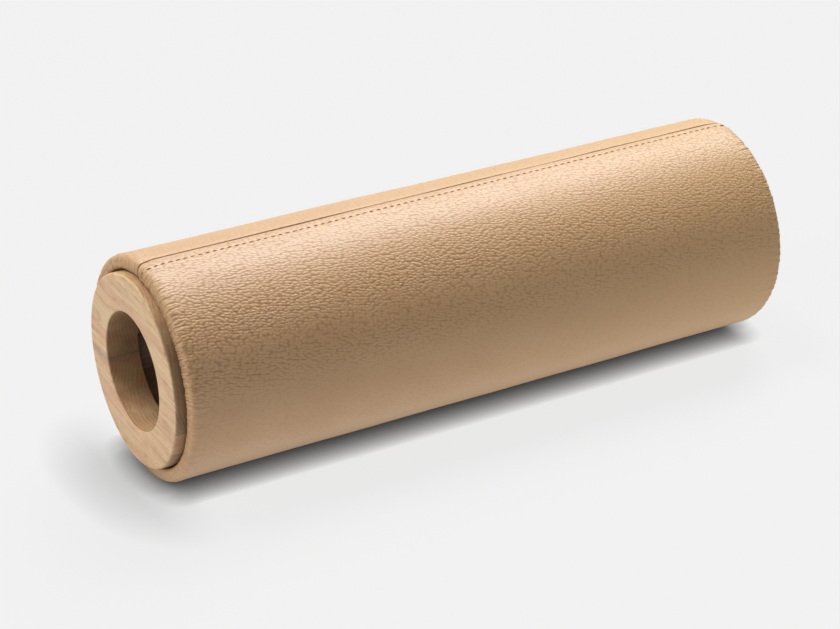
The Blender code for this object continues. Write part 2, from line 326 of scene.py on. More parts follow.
# The leather is gathered by the rings: fine puckers, and pleats that run out over the ends.
# A pair gives the places on the finish side, from the ring, between which a thing comes or goes.
gathering = {
    "seed": 7.3,
    "pucker": 0.7 * mm,
    "puckerPitch": 2.1 * mm,
    "puckerFoot": 0.6,  # share of a pucker that lies below the plain cover
    "puckerShift": 0.55,  # how unevenly they stand, in pitches
    "puckerShiftSize": 11 * mm,
    "puckerSize": 0.75,  # how large they are on average, and how much that varies
    "puckerVaries": 0.5,
    "puckerVariesSize": 16 * mm,
    "puckerComes": (-5 * mm, -1 * mm),
    "puckerEases": (5 * mm, 9 * mm),
    "puckerEased": 0.7,  # share lost there
    "puckerGoes": (9 * mm, 20 * mm),
    "underFrom": (radians(80), radians(110)),  # they are smoother underneath
    "underEased": 0.7,
    "pleat": 0.45 * mm,
    "pleatPitch": 3.6 * mm,
    "pleatFoot": 0.55,
    "pleatLength": 24 * mm,
    "pleatWander": 0.5,  # in pitches
    "pleatWanderSize": (19 * mm, 17 * mm),
    "pleatSharp": 2.2,
    "pleatComes": (-1 * mm, 3 * mm),
    "pleatGoes": (6 * mm, 24 * mm),
}

around = 2 * pi * roller["coverRadius"]
mouth = roller["ringRadius"] + cover["clearance"]  # radius of the leather's opening round the ring
crestCentre = mouth + cover["crestRound"]
touchIn = cover["crestIn"] + cover["crestRound"]
bodyIn = cover["crestIn"] + cover["endRound"]
mouthLength = cover["turnInFrom"] - touchIn
curlLength = cover["crestRound"] * pi / 2
lipHeight = roller["coverRadius"] - crestCentre


def lipOutline(steps=48):
    # the padded end between its crest and the straight part: how far along the finish side,
    # distance in, radius and the way that the finish side faces
    power = 2 / cover["endFullness"]
    rows = []
    for step in range(steps + 1):
        turn = pi / 2 * step / steps
        inside = bodyIn - cover["endRound"] * abs(cos(turn)) ** power
        radius = crestCentre + lipHeight * sin(turn) ** power
        wayIn, wayOut = -abs(cos(turn)) ** (2 - power) * lipHeight, sin(turn) ** (2 - power) * cover["endRound"]
        size = sqrt(wayIn ** 2 + wayOut ** 2)
        far = rows[-1][0] + sqrt((inside - rows[-1][1]) ** 2 + (radius - rows[-1][2]) ** 2) if rows else 0
        rows.append((far, inside, radius, wayIn / size, wayOut / size))
    return rows


lip = lipOutline()
lipPlaces = [row[0] for row in lip]
lipLength = lipPlaces[-1]
bodyAt = curlLength + lipLength
middleAt = bodyAt + roller["halfLength"] - bodyIn
stitchPitch = 2 * (middleAt - cover["fineFrom"]) / cover["bodySteps"]


def coverPath(along):
    # along runs over the finish side, from where the leather meets the ring's side to the middle.
    # Gives the distance in, the radius and the way that the finish side faces.
    if along < -mouthLength:
        return cover["turnInFrom"], mouth + along + mouthLength, -1, 0
    if along < 0:
        return touchIn - along, mouth, 0, -1
    if along < curlLength:
        turn = along / cover["crestRound"]
        inside = touchIn - cover["crestRound"] * sin(turn)
        return inside, crestCentre - cover["crestRound"] * cos(turn), -sin(turn), -cos(turn)
    if along < bodyAt:
        index = min(bisect_right(lipPlaces, along - curlLength), len(lip) - 1)
        low, high = lip[index - 1], lip[index]
        share = (along - curlLength - low[0]) / (high[0] - low[0])
        return [a + (b - a) * share for a, b in zip(low[1:], high[1:])]
    return bodyIn + along - bodyAt, roller["coverRadius"], 0, 1


def fromEdge(across):
    # across runs from the seam's edge round the back (negative) to the same edge from the front
    return across + around if across < -around / 2 else None


def stitchLine(side, along):
    left, right = cover["stitchFromEdge"]
    share = (1 + side * (middleAt - along) / middleAt) / 2
    drawn = 1 - cover["stitchGather"] * (1 - smooth(along, *cover["stitchGatherOver"]))
    return (left + (right - left) * share) * drawn


def gathers(side, along, across):
    # how far the puckers and pleats stand off the plain cover
    if along > cover["fineFrom"]:
        return 0
    seed = gathering["seed"] * side
    uneven = noise.noise(Vector((across / gathering["puckerShiftSize"], seed, 1.7)))
    bead = abs(sin(pi * (across / gathering["puckerPitch"] + gathering["puckerShift"] * uneven)))
    varied = noise.noise(Vector((across / gathering["puckerVariesSize"], seed, 4.1)))
    size = gathering["puckerSize"] + gathering["puckerVaries"] * varied
    fromTop = min(-across, across + around) / roller["coverRadius"]
    size *= 1 - gathering["underEased"] * smooth(fromTop, *gathering["underFrom"])
    eased = 1 - gathering["puckerEased"] * smooth(along, *gathering["puckerEases"])
    near = smooth(along, *gathering["puckerComes"]) * eased
    near *= 1 - smooth(along, *gathering["puckerGoes"])
    wide, long = gathering["pleatWanderSize"]
    wander = gathering["pleatWander"] * noise.noise(Vector((across / wide, along / long, seed)))
    spread = across / gathering["pleatPitch"] + wander
    ridge = abs(noise.noise(Vector((spread, along / gathering["pleatLength"], seed + 2))))
    fold = min(gathering["pleatSharp"] * ridge, 1)
    reach = smooth(along, *gathering["pleatComes"]) * (1 - smooth(along, *gathering["pleatGoes"]))
    puckers = gathering["pucker"] * size * near * (bead - gathering["puckerFoot"])
    return puckers + gathering["pleat"] * reach * (fold - gathering["pleatFoot"])


def unevenness(side, along, across):
    # the padding gives a little here and there
    long, wide = cover["sagSize"]
    spot = Vector((side * (middleAt - along) / long, across / wide, 0.4))
    return cover["sag"] * noise.noise(spot) * smooth(along, *cover["sagFrom"])


def seamShape(side, along, across):
    # how far the finish side stands off the plain cover at the lapped seam
    front = fromEdge(across)
    if front is None:
        # the back panel dives steeply under the front one, so that the line looks dark
        width = cover["grooveWidth"]
        shoulderFrom, shoulderTo = cover["shoulderSpan"]
        wall = smooth(-across, cover["grooveWallFrom"] * width, width)
        shoulder = smooth(-across, shoulderFrom * width, shoulderTo * width)
        return wall * (cover["under"] - cover["shoulder"]) + shoulder * cover["shoulder"] - cover["under"]
    lap = smooth(along, 0, cover["lapGrows"])
    stitch = stitchLine(side, along)
    shape = cover["lapRise"] * lap * smooth(front, 0, cover["lapSlope"])
    fadesFrom, fadesTo = cover["lapFades"]
    shape *= 1 - smooth(front, cover["lapWidth"] + fadesFrom, cover["lapWidth"] + fadesTo)
    if front < cover["edgeRoll"]:
        shape -= cover["edgeDrop"] * (1 - sqrt(1 - (1 - front / cover["edgeRoll"]) ** 2))
    if along > cover["stitchesFrom"]:
        hole = cos(pi * (along - cover["fineFrom"]) / stitchPitch) ** 2
        off = (front - stitch) / cover["pullWidth"]
        pull = cover["pullBetween"] + cover["pullAtHole"] * hole ** 3
        shape -= cover["stitchPull"] * exp(-off * off) * pull
    return shape


def coverPoint(side, along, across, lift=0):
    inside, radius, wayIn, wayOut = coverPath(along)
    stand = seamShape(side, along, across) + lift
    if across < 0:
        stand += gathers(side, along, across) + unevenness(side, along, across)
    inside += stand * wayIn
    radius += stand * wayOut
    return onCover(side, inside, radius, across)


def onCover(side, inside, radius, across):
    # over the ends the seam is pulled a little to the front
    near = min(abs(across), abs(across + around)) / cover["endPullWidth"]
    pull = 1 - smooth(inside, cover["crestIn"], cover["crestIn"] + cover["endPullLength"])
    across += cover["endPull"] * pull * exp(-near * near)
    angle = cover["seamAngle"] + across / roller["coverRadius"]
    drift = cover["seamDrift"] * side * (1 - inside / roller["halfLength"]) * (1 + cos(angle)) / 2
    spot = place(side, inside, radius, angle + drift)
    # it lies on the floor, pressed flat
    if spot.z < 1 * mm:
        soft = cover["pressedSoft"]
        spot.z = soft * (spot.z / soft if spot.z > 20 * soft else sqrt(max(spot.z / soft, 0) ** 2 + 0.02))
    return spot


def grainPlace(side, along, across):
    # where a spot lies in the hide's grain: that runs a little askew, is drawn out lengthways,
    # and turns to run straight in under the ring over the last few millimetres
    straight, free = hide["straightTo"], hide["freeFrom"]
    part = min(max((along - straight) / (free - straight), 0), 1)
    held = (free - straight) * (0.5 - part ** 3 + part ** 4 / 2)  # length lost to the smooth change
    still = max(straight - along, 0)
    run = middleAt - along - held - still
    slow = (held + still) / hide["endStretch"]
    lengthways = side * (run / hide["pebbleStretch"] + slow)
    turn = hide["lay"]
    a = lengthways * cos(turn) - across * sin(turn) / hide["pebbleStretch"]
    b = side * run * sin(turn) + across * cos(turn)
    return a, b, 0


def paintedFoldShade(side, along, across):
    # how much painted shade goes into folds, pucker valleys, the seam's groove and the gap at the ring
    fold = seamShape(side, along, across) + (gathers(side, along, across) if across < 0 else 0)
    paintedGapShade = hide["paintedGapShade"] * (1 - smooth(along, *hide["paintedGapShadeFrom"]))
    return min(max(-fold / hide["foldShade"] - hide["foldPlain"], paintedGapShade, 0), hide["mostShade"])


def fullness(across):
    # the grain stands full on the front, is pulled flatter along the seam and pressed flat underneath
    front = fromEdge(across)
    if front is None:
        return hide["backGrain"]
    turn = front / roller["coverRadius"] + cover["seamAngle"]
    full = hide["frontGains"] * smooth(turn, *hide["frontFrom"])
    return hide["topGrain"] + full - hide["underLoses"] * smooth(turn, *hide["underFrom"])


def grainDepth(side, along, across):
    # the strip behind the seam is stretched smoother, and the creases deepen by the rings
    behind = exp(-max(-across, 0) / hide["stretchedWidth"]) if fromEdge(across) is None else 0
    towardsLeft = -side * (middleAt - along) / middleAt
    drawn = 1 + hide["ringsGain"] * (1 - smooth(along, *hide["ringsReach"]))
    flatter = 1 - hide["stretched"] * behind
    return flatter * fullness(across) * (1 + hide["leftGains"] * towardsLeft) * drawn


def coverColumns():
    # places across, in millimetres from the seam's edge and close together there
    under = [12, 9, 6, 3.5, 1.6, 0.5, -0.1, -0.28, -0.42, -0.55, -0.7, -0.95, -1.3, -1.8, -2.5, -3.5,
             -4.8, -6.4]
    edge = [17.4, 16.2, 15, 13.9, 12.9, 12, 11.2, 10.5, 9.9, 9.3, 8.7, 8.1, 7.5, 6.9, 6.3, 5.6, 4.8, 4,
            3.2, 2.5, 1.9, 1.4, 1.05, 0.8, 0.58, 0.4, 0.25, 0.12, 0.04, 0]
    across = [x * mm for x in under]
    first, last = -8.2 * mm, -around + 18.9 * mm
    for step in range(cover["columns"] + 1):
        across.append(first + (last - first) * step / cover["columns"])
    return across + [-around + x * mm for x in edge]


def zipEdges(builder, first, second):
    # triangles between two rows of points that have the same ends
    i = j = 0
    lengths = []
    for row in (first, second):
        total = [0]
        for a, b in zip(row, row[1:]):
            total.append(total[-1] + (b.co - a.co).length)
        lengths.append([x / total[-1] for x in total])
    while i < len(first) - 1 or j < len(second) - 1:
        if j == len(second) - 1 or i < len(first) - 1 and lengths[0][i + 1] <= lengths[1][j + 1]:
            builder.faces.new((first[i], first[i + 1], second[j]))
            i += 1
        else:
            builder.faces.new((first[i], second[j + 1], second[j]))
            j += 1


def buildCover():
    across = coverColumns()
    fine, marks = [], []
    for a, b in zip(across, across[1:]):
        marks.append(len(fine))
        parts = ceil((a - b) / cover["fineWidth"])
        fine += [a + (b - a) * part / parts for part in range(parts)]
    marks.append(len(fine))
    fine.append(across[-1])

    turned = [-mouthLength - cover["turnIn"] * (1 - step / 3) for step in range(4)]
    near = [-4.6, -3.4, -2.3, -1.3, -0.5, 0.2, 0.8, 1.4, 2.0, 2.6, 3.2, 3.8, 4.5, 5.3, 6.1, 7.0, 7.9,
            8.9, 9.9, 10.9, 12, 13.2, 14.6, 16.2, 18.1, 20.3, 22.6]
    finePlaces = turned + [x * mm for x in near]
    half = cover["bodySteps"]
    bodyPlaces = [cover["fineFrom"] + (middleAt - cover["fineFrom"]) * step / half for step in range(half + 1)]
    rows = [(-1, x, fine) for x in finePlaces] + [(-1, x, across) for x in bodyPlaces]
    rows += [(1, x, across) for x in reversed(bodyPlaces[:-1])] + [(1, x, fine) for x in reversed(finePlaces)]

    builder = bmesh.new()
    hidePlace = builder.verts.layers.float_vector.new("hidePlace")
    foldShadePainted = builder.verts.layers.float.new("foldShadePainted")
    strength = builder.verts.layers.float.new("grainStrength")
    grid = []
    for side, along, places in rows:
        row = []
        for s in places:
            vert = builder.verts.new(coverPoint(side, along, s))
            vert[hidePlace] = grainPlace(side, along, s)
            # painted shade in folds, pucker valleys, the seam's groove and the gap by the ring
            vert[foldShadePainted] = paintedFoldShade(side, along, s)
            vert[strength] = grainDepth(side, along, s)
            row.append(vert)
        grid.append(row)
    for top, bottom in zip(grid, grid[1:]):
        if len(top) == len(bottom):
            for j in range(len(top) - 1):
                builder.faces.new((top[j], top[j + 1], bottom[j + 1], bottom[j]))
            continue
        for j in range(len(across) - 1):
            over, below = (row[marks[j]:marks[j + 1] + 1] if len(row) == len(fine) else row[j:j + 2]
                           for row in (top, bottom))
            builder.faces.new(over + below[::-1])

    inner = buildFlesh(builder)
    zipEdges(builder, grid[0], inner[0])
    zipEdges(builder, grid[-1], inner[-1])
    zipEdges(builder, [row[0] for row in grid], [row[0] for row in inner])
    zipEdges(builder, [row[-1] for row in grid], [row[-1] for row in inner])
    return finishMesh(builder, "leather_cover_skin", 55)


def buildFlesh(builder):
    # the flesh side, in coarser steps
    thick = cover["leather"]
    mouthBack = mouth + thick
    stations = [
        (cover["turnInFrom"] + thick, mouth - cover["turnIn"], -1, 0),
        (cover["turnInFrom"] + thick, mouthBack, -0.7, -0.7),
        (touchIn, mouthBack, 0, -1),
    ]
    for step in (1, 2):
        turn = step * pi / 4
        small = cover["crestRound"] - thick
        stations.append((touchIn - small * sin(turn), crestCentre - small * cos(turn), -sin(turn), -cos(turn)))
    for step in (1, 2, 3, 4):
        turn = step * pi / 8
        inside = bodyIn - (cover["endRound"] - thick) * cos(turn)
        stations.append((inside, crestCentre + (lipHeight - thick) * sin(turn), -cos(turn), sin(turn)))
    body = [(x * mm, roller["coverRadius"] - thick, 0, 1) for x in (20, 60, 120, 180)]
    left = [(-1, *station) for station in stations + body]
    right = [(1, *station) for station in reversed(stations + body)]

    # it lies clear of the front panel's dropped edge, and lower still under the lap
    lifted = thick - cover["edgeDrop"] - 0.05 * mm
    sunk = thick - cover["under"] - 0.6 * mm
    columns = [(12 * mm, sunk), (6 * mm, sunk), (0, sunk)]
    first, last = -4 * mm, -around + 15.2 * mm
    columns += [(first + (last - first) * step / 66, 0) for step in range(67)]
    columns += [(-around + x * mm, lifted) for x in (12.3, 6, 0)]
    grid = []
    for side, inside, radius, wayIn, wayOut in left + right:
        row = []
        for s, lift in columns:
            spot = onCover(side, inside + lift * wayIn, radius + lift * wayOut, s)
            spot.z = max(spot.z, 1 * mm)
            row.append(builder.verts.new(spot))
        grid.append(row)
    for top, bottom in zip(grid, grid[1:]):
        for j in range(len(top) - 1):
            builder.faces.new((top[j], bottom[j], bottom[j + 1], top[j + 1]))
    return grid


leather = milledCowhide()
skin = addPiece("leather_cover_skin", buildCover(), leather, "leather", "leather_cover")
print("leather cover made,", len(skin.data.polygons), "faces")


# Topstitching: one row, sewn through both layers of the lap

stitching = {
    "dark": "8B6847",
    "light": "AD865C",
    "ply": 2.01 * mm,  # the plies' spacing along it, drawn coarser than real so that it shows
    "depth": 0.05 * mm,
    "rough": 0.45,
    "thread": 0.32 * mm,  # half the thread's thickness
    "thinner": 0.35,  # share lost where it dives into a hole
    "twist": 0.10,  # how far the plies stand out of a round thread
    "above": 0.16 * mm,  # how far its middle lies over the leather halfway between two holes
    "dive": 0.7 * mm,
    "shown": 0.66,  # share of the pitch between two holes that the thread lies on top
    "steps": 10,
    "sides": 10,
    "firstAt": 7.5 * mm,
}


def bondedThread():
    # bonded polyester sewing thread, two plies twisted and waxed: a darker tan with a slight shine
    finish, tree, shader = newFinish("bondedPolyesterThread")
    spot = addNode(tree, "TexCoord").outputs["Object"]
    # the plies show as slanted lines, painted darker and lighter as shade and light on the twist; the wave
    # pattern repeats five times in pi of its units
    plies = addNode(tree, "TexWave", {"Vector": spot, "Scale": pi / 5 / stitching["ply"]},
                    wave_type="BANDS", bands_direction="DIAGONAL").outputs["Fac"]
    colour = addNode(tree, "Mix", {0: plies, 6: linear(stitching["dark"]), 7: linear(stitching["light"])},
                     data_type="RGBA")
    bump = addNode(tree, "Bump", {"Distance": stitching["depth"], "Height": plies})
    setInputs(tree, shader, {"Base Color": colour.outputs[2], "Roughness": stitching["rough"], "Normal": bump})
    return finish


def buildStitches():
    builder = bmesh.new()
    count = 0
    for side in (-1, 1):
        holes = ceil((middleAt - stitching["firstAt"]) / stitchPitch)
        for index in range(holes):
            centre = middleAt - index * stitchPitch
            if side > 0 and index == 0:
                continue
            addStitch(builder, side, centre)
            count += 1
    print("stitches:", count)
    return finishMesh(builder, "seam_topstitching")


def addStitch(builder, side, centre):
    steps = stitching["steps"]
    line = []
    for step in range(steps + 1):
        share = 2 * step / steps - 1
        along = centre + share * stitchPitch * stitching["shown"] / 2
        thisSide = side
        if along > middleAt:
            along, thisSide = 2 * middleAt - along, -side
        across = stitchLine(thisSide, along) - around
        lift = stitching["above"] - stitching["dive"] * abs(share) ** 3
        line.append((coverPoint(thisSide, along, across, lift), share))
    loops = []
    for step, (spot, share) in enumerate(line):
        ahead = line[min(step + 1, steps)][0] - line[max(step - 1, 0)][0]
        ahead.normalize()
        out = Vector((0, spot.y, spot.z - roller["axisHeight"])).normalized()
        aside = ahead.cross(out).normalized()
        out = aside.cross(ahead)
        size = stitching["thread"] * (1 - stitching["thinner"] * abs(share) ** 4)
        loop = []
        for k in range(stitching["sides"]):
            turn = 2 * pi * k / stitching["sides"]
            ply = 1 + stitching["twist"] * cos(2 * turn + 7 * share)
            loop.append(builder.verts.new(spot + size * ply * (out * cos(turn) + aside * sin(turn))))
        loops.append(loop)
    joinLoops(builder, loops)
    builder.faces.new(loops[0])
    builder.faces.new(loops[-1])


addPiece("seam_topstitching", buildStitches(), bondedThread(), None)


# Wood

ringWood = {
    "early": "E0BE8F",
    "late": "B4875A",
    "rosy": "D8A680",
    "endOlive": "7C6040",
    "endRosy": "80594A",
    "endLate": "2E1D12",
    "streak": "8D7A68",
    "streakAt": -0.6 * mm,  # from the first joint
    "streakWidth": 3.4 * mm,
    "streakAcross": (20 * mm, 42 * mm),  # it comes in between these places across the ring
    "streakShows": 0.55,
    "grainTilt": radians(-4.9),
    "joints": (-11.6 * mm, -29 * mm),  # board joints, across the grain, from the axis
    "glueWidth": 0.4 * mm,
    "glueShows": 0.25,
    "boardReach": 64 * mm,  # half the height that the three boards fill
    # hearts of the lower, middle and upper board: height, depth behind the face, and tone
    "hearts": ((0.30, 0.95, 0.35, 1), (0.58, 0.08, 1.0, 1), (0.56, 0.90, 0.1, 1)),
    "heartHeight": 150 * mm,  # what 0 and 1 of a heart's height and depth stand for, either way
    "heartDepth": 90 * mm,
    "ringWidth": 2.4 * mm,
    "ringWander": 9 * mm,
    "wanderLength": 28 * mm,
    "yearShows": 0.7,
    "yearPatch": 9 * mm,  # size of the parts where years show more or less
    "seasons": ((0, 0.25), (0.45, 0.12), (0.85, 1), (1, 0.3)),  # how dark a year is, from spring on
    "fibre": 0.9 * mm,
    "fibreAlong": 0.025,  # width beside length
    "fibreSpread": (-0.35, 0.5),  # from the palest fibre to the darkest
    "pore": 0.42 * mm,
    "poreAlong": 0.08,
    "poreShows": 0.4,
    "band": 6 * mm,
    "bandSpread": (-0.1, 0.8),  # from the yellow bands to the rosy ones
    "toneRosy": 0.3,  # how much rosier, less thirsty and lighter at its end a board of tone 1 is
    "toneThirst": -0.35,
    "toneEnd": -0.45,
    "endDark": 0.66,
    "endYear": 0.5,
    "endShows": 0.88,
    "paintedLightIn": 14 * mm,  # how far in from the face the painted light reaches, and the share of the end grain's darkness kept at the face
    "mouthEndDarkKept": 0.74,
    # share of the end grain's darkness kept in the bore under painted light
    "boreEndDarkKept": 0.68,
    "rough": (0.42, 0.6),  # on the face and on end grain
    "relief": 0.05 * mm,
}


def oiledHardwood():
    # hardwood, glued up from three boards, turned, sanded fine and oiled: straight yellow and rosy
    # grain on the face, darker where the end grain drinks the oil, paled by painted light in and near the bore,
    # and a low satin shine
    finish, tree, shader = newFinish("turnedOiledHardwood")
    spot = addNode(tree, "TexCoord").outputs["Object"]
    centred = addNode(tree, "VectorMath", {0: spot, 1: (0, 0, roller["axisHeight"])}, operation="SUBTRACT")
    tilt = ringWood["grainTilt"]
    turned = addNode(tree, "Mapping", {"Vector": centred, "Rotation": (tilt, 0, 0)})
    parts = addNode(tree, "SeparateXYZ", {0: turned}).outputs
    # each board's heart: red is its height, green its depth behind the face, blue its tone
    reach = ringWood["boardReach"]
    share = addNode(tree, "MapRange", {"Value": parts["Z"], "From Min": -reach, "From Max": reach})
    boards = addNode(tree, "ValToRGB", {"Fac": share})
    joints = [(joint + reach) / (2 * reach) for joint in ringWood["joints"]]
    setStops(boards, list(zip((0, joints[1], joints[0]), ringWood["hearts"])), "CONSTANT")
    heart = addNode(tree, "SeparateColor", {0: boards}).outputs
    heartZ = addNode(tree, "MapRange", {"Value": heart[0], "To Min": -ringWood["heartHeight"],
                                        "To Max": ringWood["heartHeight"]})
    heartX = addNode(tree, "MapRange", {"Value": heart[1], "To Min": -ringWood["heartDepth"],
                                        "To Max": ringWood["heartDepth"]})
    fromMiddle = addNode(tree, "Math", {0: parts["X"]}, operation="ABSOLUTE")
    fromFace = addNode(tree, "Math", {0: roller["halfLength"], 1: fromMiddle}, operation="SUBTRACT")
    aside = addNode(tree, "Math", {0: parts["Z"], 1: heartZ}, operation="SUBTRACT")
    behind = addNode(tree, "Math", {0: fromFace, 1: heartX}, operation="SUBTRACT")
    flat = addNode(tree, "CombineXYZ", {"X": aside, "Y": behind})
    away = addNode(tree, "VectorMath", {0: flat}, operation="LENGTH").outputs["Value"]
    # the tree's rings wander slowly along the board
    slow = addNode(tree, "VectorMath", {0: turned, 1: (1, 0.3, 1)}, operation="MULTIPLY")
    wander = addNode(tree, "TexNoise", {"Vector": slow, "Scale": 1 / ringWood["wanderLength"], "Detail": 2})
    radius = addNode(tree, "Math", {0: wander, 1: ringWood["ringWander"], 2: away}, operation="MULTIPLY_ADD")
    years = addNode(tree, "Math", {0: radius, 1: ringWood["ringWidth"]}, operation="DIVIDE")
    year = addNode(tree, "Math", {0: years}, operation="FRACT")
    seasons = addNode(tree, "ValToRGB", {"Fac": year})
    setStops(seasons, [(time, (tone, tone, tone, 1)) for time, tone in ringWood["seasons"]])
    # some years show more than others
    uneven = addNode(tree, "TexNoise", {"Vector": centred, "Scale": 1 / ringWood["yearPatch"], "Detail": 1})
    shown = addNode(tree, "MapRange", {"Value": uneven, "From Min": 0.3, "From Max": 0.7, "To Min": 0.25,
                                       "To Max": 1.0})
    season = addNode(tree, "Math", {0: seasons, 1: shown}, operation="MULTIPLY")
    # fibres, drawn 0.9 mm wide and 40 times as long; real ones are too fine to show
    long = addNode(tree, "VectorMath", {0: turned, 1: (1, ringWood["fibreAlong"], 1)}, operation="MULTIPLY")
    fibres = addNode(tree, "TexNoise", {"Vector": long, "Scale": 1 / ringWood["fibre"], "Detail": 4,
                                        "Roughness": 0.65})
    # pores, drawn as dashes 0.4 mm wide and 5 mm long
    dash = addNode(tree, "VectorMath", {0: turned, 1: (1, ringWood["poreAlong"], 1)}, operation="MULTIPLY")
    specks = addNode(tree, "TexNoise", {"Vector": dash, "Scale": 1 / ringWood["pore"], "Detail": 1})
    pores = addNode(tree, "MapRange", {"Value": specks, "From Min": 0.64, "From Max": 0.74},
                    interpolation_type="SMOOTHSTEP")
    # broad bands of colour along the grain
    wide = addNode(tree, "VectorMath", {0: turned, 1: (0.6, 0.05, 1)}, operation="MULTIPLY")
    bands = addNode(tree, "TexNoise", {"Vector": wide, "Scale": 1 / ringWood["band"], "Detail": 2})
    yellow, rosiest = ringWood["bandSpread"]
    rosy = addNode(tree, "MapRange", {"Value": bands, "From Min": 0.42, "From Max": 0.6, "To Min": yellow,
                                      "To Max": rosiest})
    tinted = addNode(tree, "Math", {0: heart[2], 1: ringWood["toneRosy"], 2: rosy},
                     operation="MULTIPLY_ADD", use_clamp=True)
    early = addNode(tree, "Mix", {0: tinted, 6: linear(ringWood["early"]), 7: linear(ringWood["rosy"])},
                    data_type="RGBA")
    palest, darkest = ringWood["fibreSpread"]
    fibre = addNode(tree, "MapRange", {"Value": fibres, "From Min": 0.3, "From Max": 0.7, "To Min": palest,
                                       "To Max": darkest})
    dark = addNode(tree, "Math", {0: season, 1: ringWood["yearShows"], 2: fibre},
                   operation="MULTIPLY_ADD", use_clamp=True)
    grain = addNode(tree, "Mix", {0: dark, 6: early.outputs[2], 7: linear(ringWood["late"])}, data_type="RGBA")
    # the grey mineral streak beside the first joint
    near = addNode(tree, "Math", {0: parts["Z"], 1: ringWood["joints"][0] + ringWood["streakAt"]},
                   operation="SUBTRACT")
    nearer = addNode(tree, "Math", {0: near}, operation="ABSOLUTE")
    line = addNode(tree, "MapRange", {"Value": nearer, "From Min": 0.2 * mm,
                                      "From Max": ringWood["streakWidth"], "To Min": ringWood["streakShows"],
                                      "To Max": 0}, interpolation_type="SMOOTHSTEP")
    inner, outer = ringWood["streakAcross"]
    patch = addNode(tree, "MapRange", {"Value": parts["Y"], "From Min": inner, "From Max": outer})
    streak = addNode(tree, "Math", {0: line, 1: patch}, operation="MULTIPLY")
    streaked = addNode(tree, "Mix", {0: streak, 6: grain.outputs[2], 7: linear(ringWood["streak"])},
                       data_type="RGBA")
    # glue lines between the boards
    lines = []
    for joint in ringWood["joints"]:
        off = addNode(tree, "Math", {0: parts["Z"], 1: joint}, operation="SUBTRACT")
        size = addNode(tree, "Math", {0: off}, operation="ABSOLUTE")
        lines.append(addNode(tree, "MapRange", {"Value": size, "From Max": ringWood["glueWidth"],
                                                "From Min": 0.3 * ringWood["glueWidth"],
                                                "To Min": ringWood["glueShows"], "To Max": 0}))
    glue = addNode(tree, "Math", dict(enumerate(lines)), operation="MAXIMUM")
    # end grain: the surface faces along the fibres
    facing = addNode(tree, "NewGeometry").outputs["Normal"]
    along = addNode(tree, "VectorMath", {0: facing, 1: (0, cos(tilt), -sin(tilt))},
                    operation="DOT_PRODUCT").outputs["Value"]
    square = addNode(tree, "Math", {0: along}, operation="ABSOLUTE")
    endGrain = addNode(tree, "MapRange", {"Value": square, "From Min": 0.25, "From Max": 0.9, "To Min": 0,
                                          "To Max": ringWood["endShows"]}, interpolation_type="SMOOTHSTEP")
    # painted light: near the face the end grain is drawn paler, for light falling into the bore's mouth, and
    # the middle board drinks less
    paintedMouthLight = addNode(tree, "MapRange", {"Value": fromFace, "From Max": ringWood["paintedLightIn"],
                                        "To Min": ringWood["mouthEndDarkKept"], "To Max": 1},
                     interpolation_type="SMOOTHSTEP")
    drinks = addNode(tree, "Math", {0: heart[2], 1: ringWood["toneThirst"], 2: 1}, operation="MULTIPLY_ADD")
    thirstUnderMouthLight = addNode(tree, "Math", {0: paintedMouthLight, 1: drinks}, operation="MULTIPLY")
    # painted light: the bore's end grain is drawn paler all along, for light reaching into it
    upright = addNode(tree, "VectorMath", {0: turned, 1: (0, 1, 1)}, operation="MULTIPLY")
    fromAxis = addNode(tree, "VectorMath", {0: upright}, operation="LENGTH").outputs["Value"]
    paintedBoreLight = addNode(tree, "MapRange", {"Value": fromAxis, "From Min": 40 * mm, "From Max": 50 * mm,
                                         "To Min": ringWood["boreEndDarkKept"], "To Max": 1})
    thirstUnderPaintedLight = addNode(tree, "Math", {0: thirstUnderMouthLight, 1: paintedBoreLight}, operation="MULTIPLY")
    oiled = addNode(tree, "Math", {0: endGrain, 1: thirstUnderPaintedLight}, operation="MULTIPLY")
    porous = addNode(tree, "Math", {0: pores, 1: ringWood["poreShows"]}, operation="MULTIPLY")
    soaked = addNode(tree, "Math", {0: oiled, 1: porous}, operation="MAXIMUM")
    lined = addNode(tree, "Math", {0: soaked, 1: glue}, operation="MAXIMUM")
    # end grain shows the year rings in browns and olive, lighter in the middle board
    endTint = addNode(tree, "Mix", {0: tinted, 6: linear(ringWood["endOlive"]), 7: linear(ringWood["endRosy"])},
                      data_type="RGBA")
    thirst = addNode(tree, "Math", {0: heart[2], 1: ringWood["toneEnd"], 2: ringWood["endDark"]},
                     operation="MULTIPLY_ADD")
    oily = addNode(tree, "Math", {0: season, 1: ringWood["endYear"], 2: thirst},
                   operation="MULTIPLY_ADD", use_clamp=True)
    endTone = addNode(tree, "Mix", {0: oily, 6: endTint.outputs[2], 7: linear(ringWood["endLate"])},
                      data_type="RGBA")
    colour = addNode(tree, "Mix", {0: lined, 6: streaked.outputs[2], 7: endTone.outputs[2]}, data_type="RGBA")
    faceRough, endRough = ringWood["rough"]
    rough = addNode(tree, "MapRange", {"Value": lined, "To Min": faceRough, "To Max": endRough})
    relief = addNode(tree, "Math", {0: fibres, 1: pores}, operation="SUBTRACT")
    bump = addNode(tree, "Bump", {"Strength": 0.5, "Distance": ringWood["relief"], "Height": relief})
    setInputs(tree, shader, {"Base Color": colour.outputs[2], "Roughness": rough, "Normal": bump})
    return finish


coreWood = {"light": "A48F82", "dark": "7C6A60", "fibre": 0.8 * mm, "band": 9 * mm, "rough": 0.62}
dowelWood = {"light": "D3AE82", "dark": "B98F62", "fibre": 0.6 * mm, "band": 9 * mm, "rough": 0.6}


